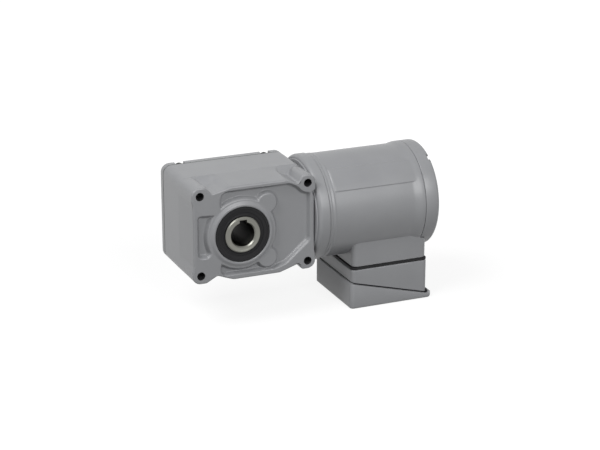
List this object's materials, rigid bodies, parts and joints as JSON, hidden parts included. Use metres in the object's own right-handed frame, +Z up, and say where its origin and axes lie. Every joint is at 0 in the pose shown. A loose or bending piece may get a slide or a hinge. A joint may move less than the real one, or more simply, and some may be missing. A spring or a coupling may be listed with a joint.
{
  "type": "right-angle geared motor",
  "caption": "Right-angle geared motor: a hollow output shaft in a flat gear case, a round motor on its side and a wedge-shaped terminal box under the motor.",
  "frame": {"origin": "the output bore's axis, half way through the gear case", "axes": "+X along the motor, away from the gear case; -Y out of the front mounting face; +Z up, away from the terminal box"},
  "size_m": [0.2717, 0.1128, 0.1608],
  "materials": {
    "paint": "light grey enamel on a casting",
    "rubber": "black rubber",
    "black_steel": "black oxide steel",
    "steel": "ground steel",
    "gear_steel": "case-hardened steel",
    "lamination": "stacked steel laminations",
    "copper": "varnished copper wire",
    "aluminium": "cast aluminium",
    "brass": "turned brass",
    "phenolic": "dark moulded plastic",
    "gasket_paper": "compressed fibre",
    "lead_sleeve": "flexible sleeve"
  },
  "bodies": {
    "casing": {"gear_case": "paint", "gear_case_cover": "paint", "case_gasket": "gasket_paper", "case_cover_screw_1": "black_steel", "case_cover_screw_2": "black_steel", "case_cover_screw_3": "black_steel", "case_cover_screw_4": "black_steel", "front_oil_seal": "rubber", "rear_oil_seal": "rubber", "front_output_bearing_outer_ring": "steel", "rear_output_bearing_outer_ring": "steel", "motor_bracket": "paint", "bracket_o_ring": "rubber", "bracket_screw_1": "black_steel", "bracket_screw_2": "black_steel", "bracket_screw_3": "black_steel", "bracket_screw_4": "black_steel", "bearing_retaining_ring": "black_steel", "front_motor_bearing_outer_ring": "steel", "rear_motor_bearing_outer_ring": "steel", "motor_oil_seal": "rubber", "motor_frame": "paint", "motor_rear_cover": "paint", "rear_cover_screw_1": "black_steel", "rear_cover_screw_2": "black_steel", "rear_cover_screw_3": "black_steel", "rear_cover_screw_4": "black_steel", "stator_core": "lamination", "stator_windings": "copper", "wave_washer": "steel", "terminal_box_gasket": "rubber", "terminal_box_base": "paint", "box_base_screw_1": "steel", "box_base_screw_2": "steel", "box_cover_gasket": "rubber", "terminal_box_cover": "paint", "box_cover_screw_1": "black_steel", "box_cover_screw_2": "black_steel", "box_cover_screw_3": "black_steel", "box_cover_screw_4": "black_steel", "terminal_block": "phenolic", "earth_screw": "brass", "cable_grommet": "rubber", "motor_leads": "lead_sleeve"},
    "output_shaft": {"hollow_shaft": "steel", "hypoid_gear": "gear_steel", "gear_key": "steel", "gear_spacer": "steel", "front_output_bearing_inner_ring": "steel", "rear_output_bearing_inner_ring": "steel"},
    "output_balls": {"front_output_bearing_ball_cage": "steel", "rear_output_bearing_ball_cage": "steel"},
    "rotor": {"motor_shaft": "steel", "hypoid_pinion": "gear_steel", "rotor_core": "lamination", "rotor_cage": "aluminium", "front_motor_bearing_inner_ring": "steel", "rear_motor_bearing_inner_ring": "steel"},
    "rotor_balls": {"front_motor_bearing_ball_cage": "steel", "rear_motor_bearing_ball_cage": "steel"}
  },
  "joints": [
    {"name": "output_spin", "type": "hinge", "parent": "casing", "child": "output_shaft", "pos_m": [0, 0, 0], "axis": [0, -1, 0], "continuous": true},
    {"name": "output_balls_spin", "type": "hinge", "parent": "casing", "child": "output_balls", "pos_m": [0, 0, 0], "axis": [0, -1, 0], "continuous": true},
    {"name": "rotor_spin", "type": "hinge", "parent": "casing", "child": "rotor", "pos_m": [0.1, 0, 0.003], "axis": [1, 0, 0], "continuous": true},
    {"name": "rotor_balls_spin", "type": "hinge", "parent": "casing", "child": "rotor_balls", "pos_m": [0.1, 0, 0.003], "axis": [1, 0, 0], "continuous": true}
  ],
  "couplings": [
    {"joint": "output_balls_spin", "follows": "output_spin", "ratio": 0.4248},
    {"joint": "rotor_spin", "follows": "output_spin", "ratio": 5},
    {"joint": "rotor_balls_spin", "follows": "output_spin", "ratio": 1.9178}
  ]
}
